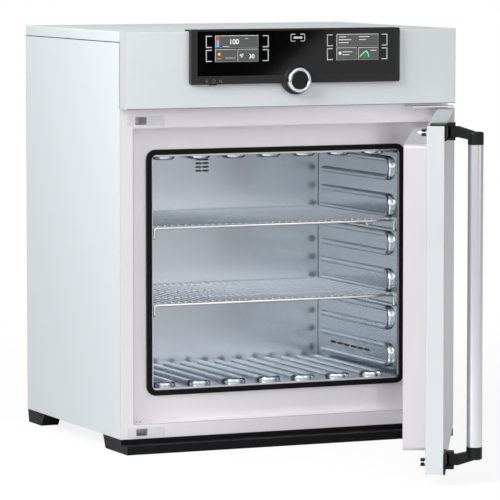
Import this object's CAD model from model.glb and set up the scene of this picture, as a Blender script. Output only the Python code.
"""Laboratory oven in a plain studio.

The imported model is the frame. This script gives every sheet, moulding and wire its finish, adds the
printed and small fitted parts that the solids leave out, and sets the floor, the light and the camera.
Lengths in the classes are millimetres in the model's own frame; meshes are made in metres.
"""

import logging
import math
from dataclasses import dataclass
from enum import Enum
from typing import Any, ClassVar, Mapping, Sequence

import bmesh
import bpy
from mathutils import Matrix, Vector


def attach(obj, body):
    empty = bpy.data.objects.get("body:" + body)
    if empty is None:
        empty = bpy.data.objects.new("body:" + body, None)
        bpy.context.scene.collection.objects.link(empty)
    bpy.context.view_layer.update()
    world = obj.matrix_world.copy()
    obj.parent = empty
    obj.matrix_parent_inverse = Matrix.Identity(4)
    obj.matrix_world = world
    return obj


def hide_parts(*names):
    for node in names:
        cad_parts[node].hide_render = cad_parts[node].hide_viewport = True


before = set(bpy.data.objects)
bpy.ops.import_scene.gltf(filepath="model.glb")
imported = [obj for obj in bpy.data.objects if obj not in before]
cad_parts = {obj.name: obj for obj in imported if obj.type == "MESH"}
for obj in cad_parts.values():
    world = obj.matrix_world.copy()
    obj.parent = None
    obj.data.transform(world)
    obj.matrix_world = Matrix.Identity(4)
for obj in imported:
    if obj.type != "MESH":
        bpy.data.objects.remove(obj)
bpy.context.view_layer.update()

logging.basicConfig(level=logging.INFO, format="%(message)s")
LOG = logging.getLogger("oven")

Point = tuple[float, float]
Point3 = tuple[float, float, float]
Inputs = Mapping[str | int, Any]
Tree = bpy.types.NodeTree
Socket = bpy.types.NodeSocket
Mesh = bpy.types.Mesh
Object = bpy.types.Object
# A millimetre in metres
MM = 0.001
# How much longer than wide the streaks of brushed sheet are drawn
STREAK_LENGTH = 60.0
# Share by which a pattern changes the roughness
UNEVEN = 0.12
# Thickness of a print or a display field in millimetres
INK_THICK = 0.03


# ---------------- materials


class Grain(Enum):
    """Direction in which a sheet was brushed or a rod was drawn."""

    ALONG_X = "x"
    ALONG_Y = "y"
    ALONG_Z = "z"
    NONE = "none"


def linear(colour: str) -> tuple[float, float, float, float]:
    """Turns an sRGB hex colour into linear light.

    Args:
        colour: Six hex digits with a leading number sign.

    Returns:
        Linear red, green and blue, and an alpha of one.
    """
    parts = [int(colour[k : k + 2], 16) / 255 for k in (1, 3, 5)]
    red, green, blue = (
        c / 12.92 if c <= 0.04045 else ((c + 0.055) / 1.055) ** 2.4 for c in parts
    )
    return red, green, blue, 1.0


def feed(tree: Tree, node: bpy.types.Node, inputs: Inputs) -> None:
    """Sets a node's inputs to values, or links them to the outputs that feed them.

    Args:
        tree: Node tree that holds the node.
        node: The node.
        inputs: Socket name or number to a value or an output socket.
    """
    for key, value in inputs.items():
        if isinstance(value, Socket):
            tree.links.new(value, node.inputs[key])
        else:
            node.inputs[key].default_value = value


def add_node(tree: Tree, kind: str, inputs: Inputs | None = None, **settings: Any) -> bpy.types.Node:
    """Adds a node with its settings and inputs.

    Args:
        tree: Node tree of a material, a world or a geometry group.
        kind: Blender's name of the node type.
        inputs: Socket name or number to a value, or to the output socket that feeds it.
        **settings: Properties of the node itself.

    Returns:
        The new node.
    """
    node = tree.nodes.new(kind)
    for key, value in settings.items():
        setattr(node, key, value)
    feed(tree, node, inputs or {})
    return node


def output(tree: Tree, kind: str, inputs: Inputs | None = None, **settings: Any) -> Socket:
    """The first output of a new node."""
    return add_node(tree, kind, inputs, **settings).outputs[0]


def maths(tree: Tree, kind: str, first: Any, second: Any) -> Socket:
    """One arithmetic step on two values or sockets, named as Blender's math node names it."""
    return output(tree, "ShaderNodeMath", {0: first, 1: second}, operation=kind)


def length(tree: Tree, vector: Socket) -> Socket:
    """Length of a vector."""
    return add_node(tree, "ShaderNodeVectorMath", {0: vector}, operation="LENGTH").outputs["Value"]


def ramp(tree: Tree, value: Socket, low: Any, high: Any, start: float = 0.0, end: float = 1.0) -> Socket:
    """Maps a value from start..end to low..high and holds it at both ends."""
    inputs = {"Value": value, "From Min": start, "From Max": end, "To Min": low, "To Max": high}
    return output(tree, "ShaderNodeMapRange", inputs)


def blend(tree: Tree, amount: Socket, first: Any, second: Any) -> Socket:
    """Mixes two colours by an amount from 0 to 1."""
    return add_node(tree, "ShaderNodeMix", {0: amount, 6: first, 7: second}, data_type="RGBA").outputs[2]


def between(tree: Tree, amount: Any, first: Any, second: Any) -> Socket:
    """Mixes two values by an amount from 0 to 1."""
    return output(tree, "ShaderNodeMix", {0: amount, 2: first, 3: second}, data_type="FLOAT")


def noise(tree: Tree, where: Socket, detail: float, scale: float = 1.0, **more: float) -> Socket:
    """A noise pattern; `more` holds its other inputs by name."""
    inputs = {"Vector": where, "Scale": scale, "Detail": detail, **more}
    return output(tree, "ShaderNodeTexNoise", inputs)


def object_place(tree: Tree) -> Socket:
    """The object's own coordinates, in metres."""
    return add_node(tree, "ShaderNodeTexCoord").outputs["Object"]


def new_material(name: str, inputs: Inputs) -> bpy.types.Material:
    """Makes a material.

    Args:
        name: Its name.
        inputs: Values of its main shader by input.

    Returns:
        The material.
    """
    made = bpy.data.materials.new(name)
    made.use_nodes = True
    feed_shader(made.node_tree, inputs)
    return made


def feed_shader(tree: Tree, inputs: Inputs) -> None:
    """Sets or links inputs of a material's main shader."""
    feed(tree, tree.nodes["Principled BSDF"], inputs)


@dataclass(frozen=True)
class Finish:
    """A surface with an even colour, which the finishes below give their pattern.

    Attributes:
        name: What the real surface is and how it was made.
        colour: Main colour as sRGB hex.
        roughness: Roughness of the surface between its pattern.
        metallic: 1 for bare metal, 0 for paint and plastic.
        pattern: Size of the visible pattern in millimetres.
        depth: Height of the pattern's relief in millimetres, 0 for none.
        spread: Share by which the colour varies.
        grain: Direction of brushing or drawing.
        specular: Strength of the reflection of what isn't metal; 0.5 is plain glass or paint.
    """

    name: str
    colour: str
    roughness: float = 0.5
    metallic: float = 0.0
    pattern: float = 2.0
    depth: float = 0.02
    spread: float = 0.06
    grain: Grain = Grain.NONE
    specular: float = 0.5

    def material(self) -> bpy.types.Material:
        """Builds the material once.

        Returns:
            The material, new or made before.
        """
        known = bpy.data.materials.get(self.name)
        if known:
            return known
        made = new_material(self.name, {
            "Base Color": linear(self.colour), "Roughness": self.roughness, "Metallic": self.metallic,
            "Specular IOR Level": self.specular,
        })
        made.diffuse_color = linear(self.colour)
        self.detail(made.node_tree)
        return made

    def place(self, tree: Tree) -> Socket:
        """Object coordinates scaled so that one unit is the pattern's size, and longer along the grain.

        Args:
            tree: Node tree of the material.

        Returns:
            The scaled vector.
        """
        scale = [1 / (self.pattern * MM)] * 3
        if self.grain is not Grain.NONE:
            scale["xyz".index(self.grain.value)] /= STREAK_LENGTH
        return output(tree, "ShaderNodeMapping", {"Vector": object_place(tree), "Scale": scale})

    def tint(self, tree: Tree, amount: Socket) -> None:
        """Varies the base colour and the roughness a little with a pattern.

        Args:
            tree: Node tree of the material.
            amount: The pattern, from 0 to 1.
        """
        base = linear(self.colour)[:3]
        shares = 1 - self.spread, 1 + self.spread
        colour = blend(tree, amount, *(tuple(min(1.0, c * f) for c in base) + (1.0,) for f in shares))
        rough = ramp(tree, amount, *(min(1.0, self.roughness * f) for f in (1 - UNEVEN, 1 + UNEVEN)))
        feed_shader(tree, {"Base Color": colour, "Roughness": rough})

    def relief(self, tree: Tree, height: Socket) -> None:
        """Feeds a height pattern from 0 to 1 to the shader's normal."""
        inputs = {"Height": height, "Distance": self.depth * MM, "Strength": 1.0}
        feed_shader(tree, {"Normal": output(tree, "ShaderNodeBump", inputs)})

    def drawn(self, tree: Tree) -> Socket:
        """The pattern of this finish, from 0 to 1: a fine uneven grain."""
        return noise(tree, self.place(tree), 3.0)

    def detail(self, tree: Tree) -> None:
        """Adds the pattern to the colour, and to the relief if the finish has one.

        Args:
            tree: Node tree of the material.
        """
        drawn = self.drawn(tree)
        self.tint(tree, drawn)
        if self.depth:
            self.relief(tree, drawn)


@dataclass(frozen=True)
class BrushedSheet(Finish):
    """Stainless sheet brushed in one direction, which gives fine streaks and a broad soft gloss.

    The real streaks are about 0.2 mm wide, too fine to show, so they are drawn at `pattern`.

    Attributes:
        cloud: Size of the slow unevenness of rolled sheet in millimetres.
        share: How much of the colour's pattern is that unevenness.
    """

    metallic: float = 1.0
    cloud: float = 120.0
    share: float = 0.35

    def detail(self, tree: Tree) -> None:
        """Adds streaks and the slow unevenness of rolled sheet.

        Args:
            tree: Node tree of the material.
        """
        streak = noise(tree, self.place(tree), 4.0, Roughness=0.7)
        slow = noise(tree, object_place(tree), 2.0, 1 / (self.cloud * MM))
        self.tint(tree, between(tree, self.share, streak, slow))
        self.relief(tree, streak)


@dataclass(frozen=True)
class SpunMetal(Finish):
    """Turned metal with fine rings about one axis along Y; `centre` is its X and Z in millimetres."""

    metallic: float = 1.0
    centre: Point = (0.0, 0.0)

    def drawn(self, tree: Tree) -> Socket:
        """Rings by the distance from the axis.

        Args:
            tree: Node tree of the material.

        Returns:
            The rings, from 0 to 1.
        """
        shift = (-self.centre[0] * MM, 0.0, -self.centre[1] * MM)
        inputs = {"Vector": object_place(tree), "Location": shift, "Scale": (1, 0, 1)}
        away = length(tree, output(tree, "ShaderNodeMapping", inputs))
        inputs = {"W": away, "Scale": 1 / (self.pattern * MM), "Detail": 3.0}
        return output(tree, "ShaderNodeTexNoise", inputs, noise_dimensions="1D")


@dataclass(frozen=True)
class GlossPanel(Finish):
    """Black acrylic, printed from behind and polished: a smooth mirror-like skin with faint dust."""

    depth: float = 0.0

    def drawn(self, tree: Tree) -> Socket:
        """A faint slow unevenness."""
        return noise(tree, self.place(tree), 2.0)


@dataclass(frozen=True)
class LitTile(Finish):
    """A lit display field behind the gloss panel; `glow` is the strength of its own light."""

    roughness: float = 0.2
    pattern: float = 0.8
    depth: float = 0.0
    specular: float = 0.2
    glow: float = 0.5

    def drawn(self, tree: Tree) -> Socket:
        """The fine pixel rows of the display."""
        inputs = {"Vector": self.place(tree), "Scale": 1.0, "Distortion": 0.0}
        return add_node(tree, "ShaderNodeTexWave", inputs, wave_type="BANDS", bands_direction="Z").outputs[1]

    def detail(self, tree: Tree) -> None:
        """Adds the glow to the pattern."""
        super().detail(tree)
        feed_shader(tree, {"Emission Color": linear(self.colour), "Emission Strength": self.glow})


@dataclass(frozen=True)
class WoolBoard(Finish):
    """Mineral wool pressed to a board: matt, with tangled fibres lying in the board's plane."""

    def drawn(self, tree: Tree) -> Socket:
        """Fibres and clumps."""
        return noise(tree, self.place(tree), 8.0, Distortion=2.5)

    def detail(self, tree: Tree) -> None:
        """Adds the soft sheen of fibres to the pattern."""
        super().detail(tree)
        feed_shader(tree, {"Sheen Weight": 0.3})


@dataclass(frozen=True)
class HeatedTube(Finish):
    """Steel heater tube, tinted straw to violet (`hot`) by heat, with a thin dull scale."""

    hot: str = "#6A4F5E"

    def drawn(self, tree: Tree) -> Socket:
        """Patches of the heat tints."""
        return noise(tree, self.place(tree), 4.0)

    def tint(self, tree: Tree, amount: Socket) -> None:
        """Shows the second heat tint in the patches."""
        feed_shader(tree, {"Base Color": blend(tree, amount, linear(self.colour), linear(self.hot))})


@dataclass(frozen=True)
class TrackedBoard(Finish):
    """Circuit board: green lacquer over copper tracks, seen as lighter lines."""

    track: str = "#4E9A62"

    def detail(self, tree: Tree) -> None:
        """Adds the tracks as a brick pattern on X and Z.

        Args:
            tree: Node tree of the material.
        """
        turn = {"Vector": object_place(tree), "Rotation": (math.radians(-90), 0, 0)}
        board, track = linear(self.colour), linear(self.track)
        inputs = {
            "Vector": output(tree, "ShaderNodeMapping", turn), "Scale": 1 / (self.pattern * MM),
            "Mortar Size": 0.05, "Color1": board, "Color2": board, "Mortar": track,
        }
        feed_shader(tree, {"Base Color": output(tree, "ShaderNodeTexBrick", inputs)})


@dataclass(frozen=True)
class SpangledSheet(Finish):
    """Hot-dip zinc sheet: flat crystals a few millimetres wide, each with its own grey."""

    metallic: float = 0.8
    depth: float = 0.0

    def drawn(self, tree: Tree) -> Socket:
        """Crystals, each with its own level."""
        cells = add_node(tree, "ShaderNodeTexVoronoi", {"Vector": self.place(tree), "Scale": 1.0})
        return output(tree, "ShaderNodeSeparateColor", {0: cells.outputs["Color"]})


X, Y, Z = Grain.ALONG_X, Grain.ALONG_Y, Grain.ALONG_Z
# The fields are: name, colour, roughness, metallic, pattern, depth, spread, grain, specular.
# Side sheets and lid: satin powder coat with a fine peel, nearly white
SIDE_COAT = Finish("powder_coat_light_grey", "#DDE4E7", 0.42, 0.0, 2.2, spread=0.02)
# Header: brushed along its width and lightly lacquered
HEADER_STEEL = BrushedSheet("brushed_steel_header", "#D8DDE0", 0.4, 0.3, 2.4, 0.006, 0.05, X)
# Door skin, the same sheet brushed upright
DOOR_STEEL = BrushedSheet("brushed_steel_door", "#D7DDE0", 0.34, 0.87, 2.4, 0.006, 0.05, Z)
# Front frame with the recess: satin cold-rolled stainless with hardly any grain
FRAME_STEEL = BrushedSheet("satin_steel_frame", "#E9E7EA", 0.34, 0.6, 3.0, 0.003, 0.03, Z)
# Inner sheet of the door with its plug: the same satin sheet, a little duller
PLUG_STEEL = BrushedSheet("satin_steel_door_plug", "#D6D4D7", 0.36, 0.75, 3.0, 0.003, 0.03, Z)
# Back of the chamber: bright-rolled stainless, which mirrors softly
CHAMBER_STEEL = BrushedSheet("bright_steel_chamber", "#CED5DB", 0.26, 0.85, 4.0, 0.0003, 0.02, Z)
# Sides, floor and ceiling of the chamber: the same sheet, rolled along its depth
RIBBED_STEEL = BrushedSheet("bright_steel_ribbed", "#C6CDD3", 0.16, 0.97, 4.0, 0.0003, 0.02, Y)
# Shelf wires and latch pins: electropolished stainless wire, clean bright lines
WIRE = BrushedSheet("electropolished_wire", "#E3E6E9", 0.16, 1.0, 2.0, 0.004, 0.04, Y)
# Rear and base: zinc sheet
ZINC = SpangledSheet("zinc_sheet", "#C9CFD2", 0.45, pattern=9.0, spread=0.09)
# Bezel: moulded ABS; its erosion grain of 0.1 mm can't show and is drawn at 1.6 mm
BEZEL = Finish("moulded_abs_dark_grey", "#232324", 0.42, pattern=1.6, spread=0.08, specular=0.25)
# Fascia panel: polished black acrylic
PANEL = GlossPanel("polished_black_acrylic", "#040405", 0.09, pattern=60.0, spread=0.1, specular=0.4)
# Displays: dark glass, with fields lit in grey, white and plain colours
SCREEN = LitTile("display_glass_dark", "#232425", 0.12, spread=0.05, glow=0.25)
TILE = LitTile("display_field_grey", "#4C4D4D", spread=0.04)
TILE_EDGE = LitTile("display_field_border", "#B9BABA", spread=0.03, glow=0.8)
TILE_DIM = LitTile("display_field_dim_line", "#7B7D7D", spread=0.03)
DIGIT = LitTile("display_white", "#E2E4E5", spread=0.02, glow=0.7)
RED_FIELD = LitTile("display_red", "#B9423B", spread=0.05, glow=0.6)
BLUE_FIELD = LitTile("display_blue", "#6E93BC", spread=0.05, glow=0.6)
YELLOW_FIELD = LitTile("display_yellow", "#C79A45", spread=0.05, glow=0.6)
GREEN_FIELD = LitTile("display_green", "#386B50", spread=0.05)
GREEN_LINE = LitTile("display_green_line", "#9FD8B4", spread=0.05, glow=0.8)
# Prints: white screen ink under the panel, and grey ink on the bezel
INK = Finish("screen_ink_white", "#C9CBCB", 0.35, pattern=1.5, depth=0.0, spread=0.04)
INK_GREY = Finish("pad_ink_grey", "#7E8081", pattern=1.5, depth=0.0)
# Seal: extruded black silicone, matt with a soft sheen
SEAL = Finish("extruded_silicone_black", "#0A0A0B", pattern=3.0, depth=0.05, spread=0.15, specular=0.12)
# Insulation: yellowish mineral wool
WOOL = WoolBoard("mineral_wool_board", "#B9AF88", 0.95, pattern=5.0, depth=1.2, spread=0.25)
# Heaters: steel tube tinted by heat
HEATER = HeatedTube("oxidised_heater_tube", "#6E5B48", 0.5, 0.85, 18.0)
# Circuit board: green lacquer
BOARD = TrackedBoard("circuit_board_green", "#245C3A", 0.35, pattern=6.0)
# Feet, carriers and arms: glass-filled polyamide, black with a dull moulded grain
FOOT = Finish("moulded_polyamide_feet", "#0D0E0E", pattern=2.5, depth=0.05, spread=0.12, specular=0.12)
ARM = Finish("moulded_polyamide_arm", "#0F1010", 0.38, depth=0.03, spread=0.12, specular=0.25)
# Handle bar: satin anodised tube, drawn along its length
BAR = BrushedSheet("satin_anodised_bar", "#DCDBE2", 0.22, 1.0, 1.6, 0.004, 0.04, Z)
# Knob: satin chrome ring with a black cap
KNOB = SpunMetal("satin_chrome_knob", "#DADCDE", 0.16, pattern=0.7, depth=0.01, centre=(0.0, 762.0))
CAP = Finish("moulded_cap_black", "#0C0D10", 0.3, pattern=1.2, depth=0.01, spread=0.1, specular=0.3)
# Hinges, keepers and screws: bright plated steel
FITTING = BrushedSheet("plated_steel_fittings", "#DDDCDF", 0.3, 0.65, 2.0, 0.004, 0.05, X)
# Mains inlet and drive housing: black moulding; the network port has a tinned shell
SOCKET = Finish("moulded_socket_black", "#131415", 0.45, pattern=1.4, spread=0.1, specular=0.3)
PORT = SpangledSheet("tinned_port_shell", "#AEB4B8", 0.3, 0.9, 3.0)
# Door bushes and the knob's sleeve: turned brass
BRASS = BrushedSheet("turned_brass", "#C29B4B", 0.3, 1.0, 1.0, 0.01, 0.06, Z)
# Exhaust: drawn steel tube
TUBE = BrushedSheet("drawn_steel_tube", "#BFC5C9", 0.35, 1.0, 2.0, 0.01, 0.05, Y)
# Edges of the recess: the grey line of shade in a folded edge
EDGE_LINE = Finish("folded_edge_shadow_grey", "#6E6D71", depth=0.0, spread=0.05, specular=0.2)
# Joints between sheets: black sealing strip
JOINT = Finish("joint_strip_black", "#2A2C2D", 0.8, depth=0.0, spread=0.1, specular=0.1)


# ---------------- mesh helpers


def new_object(name: str, data: bpy.types.ID) -> Object:
    """Makes an object at the origin and links it to the scene.

    Args:
        name: Its name.
        data: Its mesh, text, lamp or camera.

    Returns:
        The object.
    """
    made = bpy.data.objects.new(name, data)
    bpy.context.scene.collection.objects.link(made)
    return made


def evaluated(holder: Object) -> Mesh:
    """The mesh that a text or a modifier makes."""
    bpy.context.view_layer.update()
    return bpy.data.meshes.new_from_object(holder.evaluated_get(bpy.context.evaluated_depsgraph_get()))


def plain_mesh(work: bmesh.types.BMesh, name: str) -> Mesh:
    """Turns edited geometry into a mesh.

    Args:
        work: The geometry, which is freed.
        name: Name of the mesh.

    Returns:
        The mesh.
    """
    mesh = bpy.data.meshes.new(name)
    work.to_mesh(mesh)
    work.free()
    return mesh


def finish_object(
    mesh: Mesh, name: str, finish: Finish, body: str = "cabinet"
) -> Object:
    """Makes a piece of a mesh that is already in place, and lets it ride on a body.

    Args:
        mesh: The mesh, in metres in the model's frame.
        name: Name of the piece.
        finish: Its finish.
        body: The body that it moves with.

    Returns:
        The new object.
    """
    mesh.name = name
    mesh.materials.clear()
    mesh.materials.append(finish.material())
    made = new_object(name, mesh)
    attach(made, body)
    LOG.info("%s: %d faces on %s", name, len(mesh.polygons), body)
    return made


def prisms(outlines: Sequence[Sequence[Point]], front: float, thick: float) -> Mesh:
    """Thin plates with outlines of X and Z, facing the front.

    Args:
        outlines: Closed outlines, in millimetres.
        front: Y of the front faces, in millimetres.
        thick: Thickness of the plates, in millimetres.

    Returns:
        One mesh of all plates.
    """
    work = bmesh.new()
    for outline in outlines:
        near = [work.verts.new((x * MM, front * MM, z * MM)) for x, z in outline]
        far = [work.verts.new((x * MM, (front + thick) * MM, z * MM)) for x, z in outline]
        work.faces.new(near)
        work.faces.new(far[::-1])
        for k in range(len(near)):
            j = (k + 1) % len(near)
            work.faces.new((near[j], near[k], far[k], far[j]))
    bmesh.ops.recalc_face_normals(work, faces=work.faces)
    return plain_mesh(work, "plates")


def bars(boxes: Sequence[Sequence[float]]) -> Mesh:
    """Plain bars along the axes.

    Args:
        boxes: Lower and upper X, Y and Z of each bar, in millimetres.

    Returns:
        One mesh of all bars.
    """
    work = bmesh.new()
    for x0, x1, y0, y1, z0, z1 in boxes:
        size = Matrix.Diagonal(((x1 - x0) * MM, (y1 - y0) * MM, (z1 - z0) * MM, 1.0))
        middle = Matrix.Translation(((x0 + x1) / 2 * MM, (y0 + y1) / 2 * MM, (z0 + z1) / 2 * MM))
        bmesh.ops.create_cube(work, size=1.0, matrix=middle @ size)
    return plain_mesh(work, "bars")


def block(x0: float, x1: float, z0: float, z1: float) -> list[Point]:
    """A rectangle of X and Z."""
    return [(x0, z0), (x1, z0), (x1, z1), (x0, z1)]


def disc(
    x: float, z: float, radius: float, turn: float = 360.0, start: float = 0.0, steps: int = 24
) -> list[Point]:
    """A disc, or a sector of one, on X and Z.

    Args:
        x: Middle along X.
        z: Middle along Z.
        radius: Radius of the disc.
        turn: Angle of the sector.
        start: Angle at which it starts.
        steps: Number of corners.

    Returns:
        The outline.
    """
    whole = turn >= 360
    angles = [math.radians(start + turn * k / (steps if whole else steps - 1)) for k in range(steps)]
    rim = [(x + radius * math.cos(a), z + radius * math.sin(a)) for a in angles]
    return rim if whole else [(x, z)] + rim


def stroke(points: Sequence[Point], width: float) -> list[list[Point]]:
    """A line of some width as one outline for each stretch.

    Args:
        points: Corners of the line.
        width: Width of the line.

    Returns:
        Outlines of the stretches.
    """
    made = []
    for (x0, z0), (x1, z1) in zip(points, points[1:]):
        long = math.hypot(x1 - x0, z1 - z0)
        ux, uz = (x1 - x0) / long * width / 2, (z1 - z0) / long * width / 2
        made.append([
            (x0 - uz - ux, z0 + ux - uz), (x0 + uz - ux, z0 - ux - uz),
            (x1 + uz + ux, z1 - ux + uz), (x1 - uz + ux, z1 + ux + uz),
        ])
    return made


def numerals(text: str, x: float, z: float, height: float, front: float) -> Mesh:
    """Plain digits that stand on a line and face the front.

    Args:
        text: The digits.
        x: Left end, in millimetres.
        z: Base line, in millimetres.
        height: Height of a digit, in millimetres.
        front: Y of the face that carries them, in millimetres.

    Returns:
        The mesh, in place.
    """
    curve = bpy.data.curves.new("numerals", "FONT")
    curve.body = text
    curve.extrude = 0.001
    holder = new_object("numerals", curve)
    mesh = evaluated(holder)
    bpy.data.objects.remove(holder)
    bpy.data.curves.remove(curve)
    left = min(v.co.x for v in mesh.vertices)
    low = min(v.co.y for v in mesh.vertices)
    size = height * MM / (max(v.co.y for v in mesh.vertices) - low)
    for v in mesh.vertices:
        depth = INK_THICK * MM if v.co.z > 0 else 0.0
        v.co = (x * MM + (v.co.x - left) * size, front * MM - depth, z * MM + (v.co.y - low) * size)
    return mesh


@dataclass
class Scatter:
    """Copies of one small part at given places, made by a geometry node group.

    Attributes:
        name: Name of the piece that results.
        finish: Its finish, set at the end of the node group.
        slot: The record's material slot.
        sizes: Named inputs of the node group, in millimetres.
    """

    name: str
    finish: Finish
    slot: str
    sizes: dict[str, float]

    def part(self, tree: Tree, sizes: Mapping[str, Socket]) -> Socket:
        """Builds the small part about the origin, facing the front."""
        raise NotImplementedError

    def spread(self, places: Sequence[Point3], *turns: Point3) -> Object:
        """Puts the part at each place and turns it.

        Args:
            places: X, Y and Z in millimetres.
            *turns: Turns about X, Y and Z in radians; the last one also holds for all places after it.

        Returns:
            The finished piece, a plain mesh.
        """
        points = bpy.data.meshes.new(self.name + "_places")
        points.from_pydata([[c * MM for c in p] for p in places], [], [])
        turn = points.attributes.new("turn", "FLOAT_VECTOR", "POINT")
        for k, item in enumerate(turn.data):
            item.vector = turns[min(k, len(turns) - 1)]
        tree = bpy.data.node_groups.new(self.name, "GeometryNodeTree")
        tree.interface.new_socket("Geometry", in_out="INPUT", socket_type="NodeSocketGeometry")
        keys = {
            key: tree.interface.new_socket(key, in_out="INPUT", socket_type="NodeSocketFloat").identifier
            for key in self.sizes
        }
        tree.interface.new_socket("Geometry", in_out="OUTPUT", socket_type="NodeSocketGeometry")
        enter = add_node(tree, "NodeGroupInput")
        made = self.part(tree, {key: enter.outputs[key] for key in self.sizes})
        angle = output(tree, "GeometryNodeInputNamedAttribute", {"Name": "turn"}, data_type="FLOAT_VECTOR")
        inputs = {"Points": enter.outputs["Geometry"], "Instance": made, "Rotation": angle}
        copies = output(tree, "GeometryNodeInstanceOnPoints", inputs)
        inputs = {"Geometry": output(tree, "GeometryNodeRealizeInstances", {0: copies})}
        dressed = output(tree, "GeometryNodeSetMaterial", {**inputs, "Material": self.finish.material()})
        add_node(tree, "NodeGroupOutput", {0: dressed})
        holder = new_object(self.name + "_holder", points)
        modifier = holder.modifiers.new("copies", "NODES")
        modifier.node_group = tree
        for key, identifier in keys.items():
            modifier[identifier] = self.sizes[key] * MM
        mesh = evaluated(holder)
        holder.modifiers.remove(modifier)
        bpy.data.objects.remove(holder)
        return finish_object(mesh, self.name, self.finish)


def cuboid(tree: Tree, size: Inputs, place: Inputs) -> Socket:
    """A block in a geometry node group.

    Args:
        tree: The geometry node group.
        size: Its size by axis number.
        place: Its middle by axis number.

    Returns:
        The block's geometry.
    """
    cube = output(tree, "GeometryNodeMeshCube", {"Size": output(tree, "ShaderNodeCombineXYZ", size)})
    middle = output(tree, "ShaderNodeCombineXYZ", place)
    return output(tree, "GeometryNodeTransform", {"Geometry": cube, "Translation": middle})


class KeyBracket(Scatter):
    """A touch key's outline: an upright bar with two arms that point along +X."""

    def part(self, tree: Tree, sizes: Mapping[str, Socket]) -> Socket:
        """Joins the bar and its arms.

        Args:
            tree: The geometry node group.
            sizes: Width, Height, Line and Thick.

        Returns:
            The bracket.
        """
        width, height, line, thick = (sizes[key] for key in ("Width", "Height", "Line", "Thick"))
        inset = maths(tree, "MULTIPLY", line, 0.5)
        arm = maths(tree, "SUBTRACT", width, line)
        rise = maths(tree, "MULTIPLY", maths(tree, "SUBTRACT", height, line), 0.5)
        fall = maths(tree, "MULTIPLY", rise, -1.0)
        back = maths(tree, "ADD", maths(tree, "MULTIPLY", width, -0.5), inset)
        out = add_node(tree, "GeometryNodeJoinGeometry")
        blocks = (back, 0.0, line, height), (inset, rise, arm, line), (inset, fall, arm, line)
        for x, z, wide, high in blocks:
            feed(tree, out, {0: cuboid(tree, {0: wide, 1: thick, 2: high}, {0: x, 2: z})})
        return out.outputs[0]


class ScrewHead(Scatter):
    """A low screw head with a cross recess, its face towards -Y.

    The cross and the flat top are shares of the head's radius.
    """

    FLAT = 0.8
    CROSS_LONG = 1.1
    CROSS_WIDE = 0.26

    def part(self, tree: Tree, sizes: Mapping[str, Socket]) -> Socket:
        """Builds the head and cuts the cross.

        Args:
            tree: The geometry node group.
            sizes: Radius and Thick.

        Returns:
            The head.
        """
        radius, thick = sizes["Radius"], sizes["Thick"]
        shares = self.FLAT, self.CROSS_LONG, self.CROSS_WIDE
        flat, long, wide = (maths(tree, "MULTIPLY", radius, share) for share in shares)
        cone = {"Vertices": 20, "Radius Top": flat, "Radius Bottom": radius, "Depth": thick}
        head = output(tree, "GeometryNodeMeshCone", cone)
        for x, y in ((long, wide), (wide, long)):
            both = {"Mesh 1": head, "Mesh 2": cuboid(tree, {0: x, 1: y, 2: thick}, {2: thick})}
            head = output(tree, "GeometryNodeMeshBoolean", both, operation="DIFFERENCE", solver="EXACT")
        upright = (math.radians(90), 0, 0)
        return output(tree, "GeometryNodeTransform", {"Geometry": head, "Rotation": upright})


def add_screws(
    name: str, places: Sequence[Point3], turn: Point3, radius: float, thick: float, finish: Finish
) -> Object:
    """Adds equal screw heads at their places, turned alike about X, Y and Z."""
    return ScrewHead(name, finish, "fittings", {"Radius": radius, "Thick": thick}).spread(places, turn)


# ---------------- sub-assemblies


@dataclass
class Assembly:
    """A group of the model's nodes; `finishes` names the nodes that each finish is for."""

    finishes: ClassVar[dict[Finish, str]] = {}

    def dress(self) -> None:
        """Gives each node its finish."""
        pairs = [(node, finish) for finish, nodes in self.finishes.items() for node in nodes.split()]
        for node, finish in pairs:
            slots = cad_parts[node].data.materials
            if not slots:
                slots.append(None)
            for k in range(len(slots)):
                slots[k] = finish.material()
            LOG.info("%s: %s", node, finish.name)

    def build(self) -> None:
        """Dresses the nodes and adds the small parts."""
        self.dress()
        self.add_parts()

    def add_parts(self) -> None:
        """Adds the parts that the solids leave out."""


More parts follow.
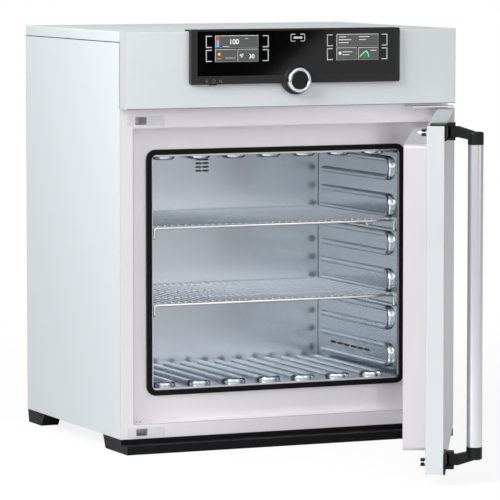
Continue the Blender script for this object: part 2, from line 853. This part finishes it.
@dataclass
class Cabinet(Assembly):
    """Outer sheets, feet, hinges and everything fitted at the back.

    `half` is half the width, `depth` the Y of the rear face, and names in y or z are edges and faces.
    `joint` is the gap between sheets, `line` and `under_line` the width of a line of shade. The lines stand
    `proud` of the sheets, and the strips in the gaps lie `deep` below their surface.
    """

    finishes: ClassVar[dict[Finish, str]] = {
        SIDE_COAT: "left_side_panel right_side_panel top_cover",
        ZINC: "rear_panel base_plate",
        HEADER_STEEL: "header_panel",
        FRAME_STEEL: "front_frame",
        FITTING: "latch_keepers upper_hinge lower_hinge hinge_screws rear_screws",
        FOOT: "front_feet front_crossbar rear_feet rear_crossbar",
        TUBE: "exhaust_tube exhaust_flap",
        SOCKET: "exhaust_drive power_inlet",
        PORT: "data_port",
        WOOL: "side_insulation top_insulation bottom_insulation back_insulation",
    }
    half: float = 372.5
    depth: float = 549.0
    under: float = 28.0
    header_z: float = 707.0
    lid_z: float = 843.0
    top: float = 864.0
    header_y: float = -38.0
    joint: float = 0.8
    line: float = 1.8
    under_line: float = 0.9
    proud: float = 0.05
    deep: float = 0.25
    sheet: float = 1.2
    # Screws in the keepers: X, Y and Z
    keeper_x: Point = (-350.5, -286.5)
    keeper_y: float = -0.85
    keeper_z: Point = (681.5, 41.0)
    # Rear screws: from the sides, from the upper and lower edge, from a side's ends, and along a row
    screw_inset: float = 9.0
    screw_edge: float = 12.0
    screw_end: float = 40.0
    screw_row: float = 180.0
    # Recess for the door's plug: from the sides, and its lower and upper edge
    recess_inset: float = 28.5
    recess_z: Point = (57.5, 667.0)

    def add_parts(self) -> None:
        """Adds screws, the dark joints between the sheets and the lines along folded edges."""
        places = [(x, self.keeper_y, z) for z in self.keeper_z for x in self.keeper_x]
        add_screws("keeper_screws", places, (0.0, 0.0, 0.0), 2.6, 0.5, FITTING)
        self.rear_screws()
        self.joints()
        self.recess_lines()

    def rear_screws(self) -> None:
        """Cross-head screws round the edge of the rear panel."""
        side, y, low, high = self.half - self.screw_inset, self.depth + 0.02, self.under, self.lid_z
        rows = (low + self.screw_end, (low + high) / 2, high - self.screw_end)
        ends = high - self.screw_edge, low + self.screw_edge
        places = [(s * side, y, z) for s in (-1, 1) for z in rows]
        places += [(k * self.screw_row, y, z) for k in (-1, 0, 1) for z in ends]
        heads = add_screws("rear_screw_heads", places, (0.0, 0.0, math.pi), 4.0, 1.8, FITTING)
        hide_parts("rear_screws")

    def joints(self) -> None:
        """Strips in the joints between lid, sides, header and frame, and the lines of shade beside them."""
        half, sheet, lid, deep = self.half, self.sheet, self.lid_z, self.deep
        back, gap, line = self.depth - 2.0, lid - self.joint, lid - self.line
        boxes = []
        for s in (-1, 1):
            x0, x1 = sorted((s * (half - deep), s * (half - deep - 1.0)))
            boxes.append((x0, x1, sheet, back, gap, lid))
            boxes.append((x0, x1, sheet, sheet + self.joint, self.under, gap))
            boxes.append((x0, x1, 0.0, self.joint, lid, self.top - deep))
            x0, x1 = sorted((s * (half + self.proud), s * (half - deep)))
            boxes.append((x0, x1, sheet, back, line, lid - 0.1))
            boxes.append((x0, x1, sheet, sheet + self.line, self.header_z, line))
        boxes.append((-half + 1, half - 1, 0.0, self.joint, self.top - deep - 1.0, self.top - deep))
        boxes.append((-half, half, self.header_y - self.proud, self.header_y + deep,
                      self.header_z, self.header_z + self.under_line))
        finish_object(bars(boxes), "sheet_joints", JOINT)

    def recess_lines(self) -> None:
        """The grey lines along the left and the lower edge of the recess."""
        side, (low, high) = self.half - self.recess_inset, self.recess_z
        front, back = -self.proud, self.deep
        rim = (-side - 0.3, -side + 0.5, front, back, low, high), (-side, side, front, back, low - 0.5, low)
        finish_object(bars(rim), "recess_edge_lines", EDGE_LINE)


@dataclass
class Fascia(Assembly):
    """Bezel, glossy panel with its displays and printed keys, and the knob.

    The places of prints and display fields are X and Z in millimetres, read off the photograph. `front`
    and `rim` are the Y of the panel's and the bezel's face, `ink` is the thickness of a print or a field,
    and the touch keys are outlined in `line` about the middles `key_x` and `key_z`.
    """

    finishes: ClassVar[dict[Finish, str]] = {
        BEZEL: "cockpit_bezel power_button", PANEL: "cockpit_glass", SCREEN: "left_display right_display",
        BOARD: "control_board", SOCKET: "encoder_body", BRASS: "encoder_rotor", KNOB: "control_knob",
        CAP: "knob_cap",
    }
    front: float = -49.7
    rim: float = -50.0
    ink: float = INK_THICK
    line: float = 1.9
    key_x: tuple[float, ...] = (-196.9, -70.0, 75.3, 200.6)
    key_z: Point = (842.5, 814.0)
    key_size: Point = (13.2, 24.5)

    def plates(self, name: str, outlines: Sequence[Sequence[Point]], finish: Finish, layer: int = 1) -> None:
        """Adds printed or lit fields; their layer is 1 on the panel, 2 on a field, and so on."""
        mesh = prisms(outlines, self.front - self.ink * layer, self.ink)
        finish_object(mesh, name, finish)

    def digits(self, name: str, text: str, x: float, z: float, height: float) -> None:
        """Adds a number on a display field, from its left end on the base line."""
        mesh = numerals(text, x, z, height, self.front - self.ink * 2)
        finish_object(mesh, name, DIGIT)

    def add_parts(self) -> None:
        """Adds keys, display fields and the small signs."""
        self.keys()
        self.left_fields()
        self.right_fields()
        self.signs()

    def keys(self) -> None:
        """The four touch keys beside each display, those on its right side turned about."""
        places = [(x, self.front - self.ink / 2, z) for z in self.key_z for x in self.key_x]
        turns = [(0.0, 0.0, math.pi * (k % 2)) for k in range(len(places))]
        sizes = {"Width": self.key_size[0], "Height": self.key_size[1], "Line": self.line, "Thick": self.ink}
        KeyBracket("touch_keys", INK, "fascia_glass", sizes).spread(places, *turns)

    def fields(self, name: str, fields: Sequence[Sequence[float]]) -> None:
        """Grey display fields with a bright line at the top and left and a dim one at the right and below.

        Args:
            name: Start of the pieces' names.
            fields: Left, right, lower and upper edge of each field.
        """
        line = 0.9
        self.plates(name + "_fields", [block(*f) for f in fields], TILE)
        bright = [s for x0, x1, z0, z1 in fields for s in (
            block(x0, x1, z1 - line, z1), block(x0, x0 + line, z0, z1 - line))]
        dim = [s for x0, x1, z0, z1 in fields for s in (
            block(x0 + line, x1, z0, z0 + line), block(x1 - line, x1, z0 + line, z1 - line))]
        self.plates(name + "_field_edges", bright, TILE_EDGE, 2)
        self.plates(name + "_field_dim_edges", dim, TILE_DIM, 2)

    def left_fields(self) -> None:
        """Fields of the left display: one wide over two small."""
        self.fields("left", [(-182.5, -86.5, 829.6, 855.0), (-182.5, -136.0, 801.2, 827.2),
                             (-133.0, -86.5, 801.2, 827.2)])
        self.plates("heat_strip_red", [block(-180.0, -174.0, 845.0, 853.0)], RED_FIELD, 3)
        self.plates("heat_strip_blue", [block(-180.0, -174.0, 832.0, 845.0)], BLUE_FIELD, 3)
        sun = [disc(-174.0, 817.0, 3.4)] + stroke([(-178.5, 808.0), (-169.5, 808.0)], 1.2)
        self.plates("light_sign", sun, YELLOW_FIELD, 3)
        self.digits("left_value", "100", -149.0, 837.0, 10.5)
        self.digits("left_share", "30", -107.0, 807.5, 9.0)
        marks = [block(-160.0 + 4.5 * k, -157.0 + 4.5 * k, 808.5, 809.7) for k in range(5)]
        marks += stroke([(-116.0, 848.5), (-110.0, 848.5)], 1.0)
        marks += stroke([(-166.0, 833.0), (-152.0, 833.0)], 1.0)
        self.plates("left_marks", marks, TILE_EDGE, 3)
        blades = [disc(-124.0, 814.0, 4.2, 70.0, 120.0 * k, 6) for k in range(3)]
        self.plates("fan_sign", blades, TILE_EDGE, 3)

    def right_fields(self) -> None:
        """Fields of the right display: one wide over two small, with a curve."""
        self.fields("right", [(90.5, 186.5, 829.6, 855.0), (90.5, 137.0, 801.2, 827.2),
                              (140.0, 186.5, 801.2, 827.2)])
        curve = [(144.0, 808.5), (151.5, 815.0), (154.5, 817.5), (159.0, 819.5), (162.0, 816.0),
                 (164.5, 808.0)]
        self.plates("curve_fill", [[(144.0, 806.0), (165.0, 806.0)] + curve[::-1]], GREEN_FIELD, 2)
        self.plates("curve_line", stroke(curve, 1.3), GREEN_LINE, 3)
        rows = [block(x0, x1, z, z + 1.5) for x0, x1, z in (
            (96.0, 112.0, 848.5), (96.0, 124.0, 842.5), (96.0, 118.0, 836.5), (142.0, 166.0, 848.5),
            (142.0, 158.0, 842.5), (104.0, 126.0, 817.5), (104.0, 120.0, 811.5), (168.0, 182.0, 820.0),
        )]
        self.plates("right_marks", rows, TILE_EDGE, 3)
        self.plates("clock_sign", [disc(98.5, 815.5, 3.0)], DIGIT, 3)

    def signs(self) -> None:
        """The menu sign between the displays and the three signs on the bezel's lower edge."""
        self.plates("menu_sign", stroke([(-4.0, 856.0), (-13.0, 856.0), (-13.0, 842.0), (-4.0, 842.0)], 1.6)
                    + stroke([(9.0, 856.0), (18.0, 856.0), (18.0, 842.0), (9.0, 842.0)], 1.6)
                    + [block(-7.5, 12.5, 846.8, 851.2)], INK)
        rim = disc(-186.0, 762.0, 3.2, steps=12)
        cross = [(-201.5, 758.6), (-201.5, 765.4)], [(-204.0, 762.0), (-199.0, 762.0)]
        pins = [(-172.5, 759.5), (-172.5, 764.5)], [(-169.0, 759.5), (-169.0, 764.5)]
        lines = [s for points in (*cross, *pins) for s in stroke(points, 1.0)]
        mesh = prisms(lines + stroke(rim + rim[:1], 0.9), self.rim - self.ink, self.ink)
        finish_object(mesh, "mains_signs", INK_GREY)


@dataclass
class Chamber(Assembly):
    """The ribbed chamber, its seal, heaters, sensors and shelves."""

    finishes: ClassVar[dict[Finish, str]] = {
        RIBBED_STEEL: "liner_floor liner_ceiling liner_left_wall liner_right_wall",
        CHAMBER_STEEL: "liner_back_wall",
        SEAL: "chamber_gasket",
        HEATER: "side_heaters floor_heaters ceiling_heaters",
        WIRE: "temperature_sensors upper_shelf_frame upper_shelf_rods lower_shelf_frame lower_shelf_rods",
    }
    half: float = 280.0
    back: float = 450.0
    floor: float = 124.0
    ceiling: float = 604.0
    strip: float = 0.6
    recess_screws: tuple[Point, ...] = ((-323.0, 37.0), (-315.0, 37.0))
    recess_floor: float = 57.52

    def add_parts(self) -> None:
        """Adds the dark joints in the chamber's rear corners and the screws in the recess."""
        near, far, strip, half = self.back - self.strip, self.back - 0.1, self.strip, self.half
        boxes = [(x - strip, x + strip, near, far, self.floor, self.ceiling) for x in (-half, half)]
        boxes.append((-half, half, near, far, self.ceiling - strip, self.ceiling))
        finish_object(bars(boxes), "chamber_corner_joints", JOINT)
        places = [(x, y, self.recess_floor) for x, y in self.recess_screws]
        add_screws("recess_screws", places, (-math.pi / 2, 0.0, 0.0), 1.7, 0.8, SOCKET)


@dataclass
class Door(Assembly):
    """Door, latches and handle."""

    finishes: ClassVar[dict[Finish, str]] = {
        DOOR_STEEL: "door_outer_shell", PLUG_STEEL: "door_inner_liner", WOOL: "door_insulation",
        ARM: "latch_base_top latch_base_bottom latch_housings handle_arm_top handle_arm_bottom",
        BRASS: "door_bushes", WIRE: "latch_pins", BAR: "handle_bar",
    }


@dataclass(frozen=True)
class Lamp:
    """A round area lamp, with its place, its aim and its diameter in metres and its power in watts."""

    name: str
    place: Point3
    aim: Point3
    size: float
    power: float

    def hang(self) -> None:
        """Adds the lamp to the scene."""
        data = bpy.data.lights.new(self.name, "AREA")
        data.shape = "DISK"
        data.size = self.size
        data.energy = self.power
        lamp = new_object(self.name, data)
        lamp.location = self.place
        lamp.rotation_mode = "QUATERNION"
        lamp.rotation_quaternion = (Vector(self.aim) - Vector(self.place)).to_track_quat("-Z", "Y")


@dataclass
class Studio:
    """Floor, surrounding light, lamps and camera.

    The camera's place is in millimetres, `yaw` turns it from +Y towards +X and `pitch` lowers it.
    `ambient` is the world's soft light as a share of what mirrors show, and `left`, `right` and `behind`
    are its levels from -X, +X and +Y; a name in soft holds for soft light. Mirrors also show a dark flag at
    the far right. A span gives where a change starts and ends: X or Y of the direction, or for the floor's
    fade to plain white the distance in metres. `bounce` is the floor's colour as soft light meets it.
    `card_x` holds the card's left edge and its right end at the bottom and at the top.
    """

    camera_place: Point3 = (-3185.54, -7048.86, 1073.99)
    yaw: float = 23.754
    pitch: float = 4.936
    lens: float = 268.49
    ambient: float = 0.52
    left: float = 1.12
    right: float = 0.85
    right_soft: float = 1.3
    behind: float = 0.32
    behind_soft: float = 1.0
    behind_span: Point = (0.05, 0.85)
    flag: float = 0.25
    flag_span: Point = (0.6, 0.8)
    floor_radius: float = 14.0
    fade_span: Point = (0.9, 2.5)
    fade_near: float = 0.86
    bounce: str = "#6A6A6A"
    card_y: float = -1250.0
    card_x: Point3 = (230.0, 400.0, 696.0)
    card_z: Point = (660.0, 880.0)
    lamps: tuple[Lamp, ...] = (
        Lamp("key", (-2.0, -1.0, 1.8), (0.0, 0.0, 0.5), 1.4, 58.0),
        Lamp("front", (0.6, -4.2, 2.2), (0.0, 0.0, 0.5), 1.8, 14.0),
        Lamp("fill", (-1.7, -3.8, 1.6), (0.1, 0.2, 0.45), 1.2, 7.5),
        Lamp("rim", (2.6, -3.2, 0.8), (0.2, -0.4, 0.5), 1.0, 3.5),
    )

    def build(self) -> None:
        """Sets up the whole studio."""
        self.floor()
        self.world()
        self.card()
        for lamp in self.lamps:
            lamp.hang()
        self.camera()

    def camera(self) -> None:
        """Places the camera at the photograph's viewpoint."""
        data = bpy.data.cameras.new("camera")
        data.lens = self.lens
        data.sensor_width = 36.0
        data.clip_start, data.clip_end = 0.1, 200.0
        made = new_object("camera", data)
        yaw, pitch = math.radians(self.yaw), math.radians(self.pitch)
        look = Vector((math.sin(yaw) * math.cos(pitch), math.cos(yaw) * math.cos(pitch), -math.sin(pitch)))
        made.rotation_mode = "QUATERNION"
        made.rotation_quaternion = look.to_track_quat("-Z", "Y")
        made.location = [c * MM for c in self.camera_place]
        bpy.context.scene.camera = made

    def floor(self) -> None:
        """A pale paper floor that fades into the white background."""
        mesh = bpy.data.meshes.new("floor")
        rim = [(x, y, 0.0) for x, y in disc(0.0, 0.0, self.floor_radius, steps=64)]
        mesh.from_pydata(rim, [], [list(range(len(rim)))])
        made = new_object("floor", mesh)
        material = new_material("studio_floor_paper", {"Roughness": 0.9})
        tree = material.node_tree
        where = object_place(tree)
        path = add_node(tree, "ShaderNodeLightPath").outputs
        paper = blend(tree, noise(tree, where, 4.0, 40.0), linear("#F6F7F7"), linear("#FBFBFB"))
        feed_shader(tree, {"Base Color": blend(tree, path["Is Diffuse Ray"], paper, linear(self.bounce))})
        fade = ramp(tree, length(tree, where), self.fade_near, 1.0, *self.fade_span)
        white = output(tree, "ShaderNodeEmission", {"Color": (1, 1, 1, 1), "Strength": 1.0})
        paper = tree.nodes["Principled BSDF"].outputs[0]
        seen = maths(tree, "MULTIPLY", fade, path["Is Camera Ray"])
        mix = output(tree, "ShaderNodeMixShader", {0: seen, 1: paper, 2: white})
        feed(tree, tree.nodes["Material Output"], {"Surface": mix})
        mesh.materials.append(material)

    def world(self) -> None:
        """White to the eye, a soft light from all sides, and darker behind and at the right in mirrors."""
        world = bpy.data.worlds.new("studio")
        bpy.context.scene.world = world
        world.use_nodes = True
        tree = world.node_tree
        path = add_node(tree, "ShaderNodeLightPath").outputs
        seen = maths(tree, "MAXIMUM", path["Is Camera Ray"], path["Is Transmission Ray"])
        mirror = maths(tree, "MAXIMUM", seen, path["Is Glossy Ray"])
        where = add_node(tree, "ShaderNodeTexCoord").outputs["Generated"]
        way = add_node(tree, "ShaderNodeSeparateXYZ", {0: where}).outputs
        across = ramp(tree, way[0], self.left, ramp(tree, mirror, self.right_soft, self.right), -1.0, 1.0)
        along = ramp(tree, way[1], 1.0, ramp(tree, mirror, self.behind_soft, self.behind), *self.behind_span)
        level = ramp(tree, mirror, self.ambient, ramp(tree, way[0], 1.0, self.flag, *self.flag_span))
        lit = maths(tree, "MULTIPLY", level, maths(tree, "MULTIPLY", across, along))
        final = between(tree, path["Is Camera Ray"], lit, 1.0)
        feed(tree, tree.nodes["Background"], {"Color": (1, 1, 1, 1), "Strength": final})

    def card(self) -> None:
        """A dark card at the right front that the left part of the glossy panel mirrors."""
        y, (left, low_right, high_right), (low, high) = self.card_y, self.card_x, self.card_z
        corners = [(left, y, low), (low_right, y, low), (high_right, y, high), (left, y, high)]
        mesh = bpy.data.meshes.new("dark_card")
        mesh.from_pydata([[c * MM for c in p] for p in corners], [], [(0, 1, 2, 3)])
        made = new_object("dark_card", mesh)
        made.visible_camera = made.visible_diffuse = made.visible_shadow = False
        cloth = {"Base Color": linear("#050505"), "Roughness": 1.0, "Specular IOR Level": 0.0}
        mesh.materials.append(new_material("studio_black_cloth", cloth))


def main() -> None:
    """Builds the sub-assemblies, then the studio."""
    for assembly in (Cabinet(), Fascia(), Chamber(), Door()):
        assembly.build()
    Studio().build()
    bpy.context.scene.view_settings.view_transform = "Standard"


if __name__ == "__main__":
    main()
